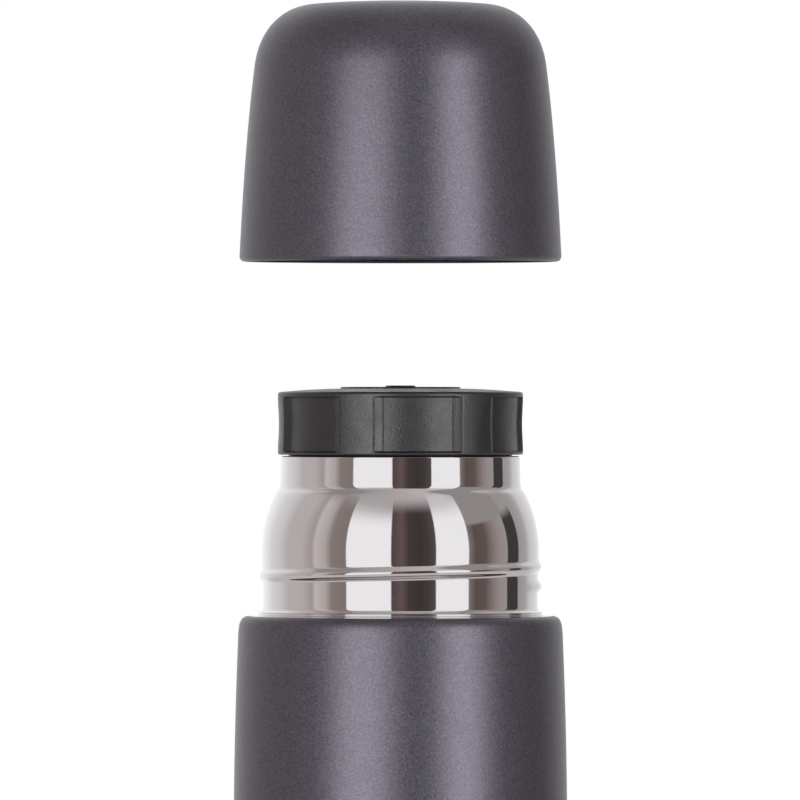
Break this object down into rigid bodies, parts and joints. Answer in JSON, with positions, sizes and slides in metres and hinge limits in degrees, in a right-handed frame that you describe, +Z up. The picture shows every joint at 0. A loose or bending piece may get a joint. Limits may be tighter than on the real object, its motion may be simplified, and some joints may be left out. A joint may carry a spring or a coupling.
{
  "type": "vacuum flask",
  "caption": "Double-walled steel vacuum flask with a polished screw neck, a ribbed screw stopper and a coated cup that closes over them.",
  "frame": {"origin": "centre of the flask's base, on the surface it stands on", "axes": "+Z up along the flask's axis, -Y the front side that the recess of the grip nearest the front faces"},
  "size_m": [0.07, 0.07, 0.3191],
  "materials": {
    "coated_steel": "satin dark grey coating with fine metallic speckle",
    "polished_steel": "mirror polished stainless steel",
    "mouth_steel": "turned and dressed weld",
    "brushed_steel": "finely brushed stainless steel",
    "copper_foil": "copper-coloured foil, slightly creased",
    "pressed_steel": "plain pressed steel",
    "getter": "sintered dark grey",
    "base_steel": "plain drawn steel",
    "seal_glass": "fused glass bead",
    "pad_foam": "open-cell foam",
    "cover_steel": "circular brushed steel",
    "grip_plastic": "finely textured black polypropylene",
    "disc_plastic": "fine black polypropylene",
    "plug_plastic": "smooth black polypropylene",
    "core_foam": "expanded foam",
    "end_cap_plastic": "smooth black polypropylene",
    "silicone": "translucent grey silicone",
    "gasket_rubber": "black silicone",
    "cup_coated_steel": "satin dark grey coating with fine metallic speckle",
    "liner_steel": "satin spun stainless steel",
    "ring_plastic": "black polypropylene",
    "spacer_foam": "thin foam strip",
    "cup_foam": "expanded foam"
  },
  "bodies": {
    "flask": {"outer_shell": "coated_steel", "neck_collar": "polished_steel", "mouth_seam": "mouth_steel", "inner_bottle": "brushed_steel", "radiation_foil": "copper_foil", "getter_holder": "pressed_steel", "getter_pellet": "getter", "vacuum_base": "base_steel", "evacuation_seal": "seal_glass", "base_pad": "pad_foam", "base_cover": "cover_steel"},
    "stopper_carriage": {"stopper_seal": "silicone"},
    "stopper": {"stopper_grip": "grip_plastic", "stopper_top_disc": "disc_plastic", "stopper_plug": "plug_plastic", "stopper_foam": "core_foam", "stopper_end_cap": "end_cap_plastic", "stopper_rim_gasket": "gasket_rubber"},
    "cup_carriage": {"cup_spacer": "spacer_foam"},
    "cup_thread_carriage": {"cup_liner": "liner_steel", "cup_insulation": "cup_foam"},
    "cup": {"cup_shell": "cup_coated_steel", "cup_thread_ring": "ring_plastic"}
  },
  "joints": [
    {"name": "stopper_rise", "type": "slide", "parent": "flask", "child": "stopper_carriage", "axis": [0, 0, 1], "range_m": [0, 0.0281]},
    {"name": "stopper_turn", "type": "hinge", "parent": "stopper_carriage", "child": "stopper", "pos_m": [0, 0, 0.2235], "axis": [0, 0, 1], "range_deg": [0, 1260]},
    {"name": "cup_lift", "type": "slide", "parent": "stopper_carriage", "child": "cup_carriage", "axis": [0, 0, 1], "range_m": [-0.07, 0]},
    {"name": "cup_rise", "type": "slide", "parent": "cup_carriage", "child": "cup_thread_carriage", "axis": [0, 0, 1], "range_m": [-0.0042, 0]},
    {"name": "cup_turn", "type": "hinge", "parent": "cup_thread_carriage", "child": "cup", "pos_m": [0, 0, 0.2645], "axis": [0, 0, 1], "range_deg": [-360, 0]}
  ],
  "couplings": [
    {"joint": "stopper_rise", "follows": "stopper_turn", "m_per_rad": 0.0012732},
    {"joint": "cup_rise", "follows": "cup_turn", "m_per_rad": 0.00065254}
  ]
}
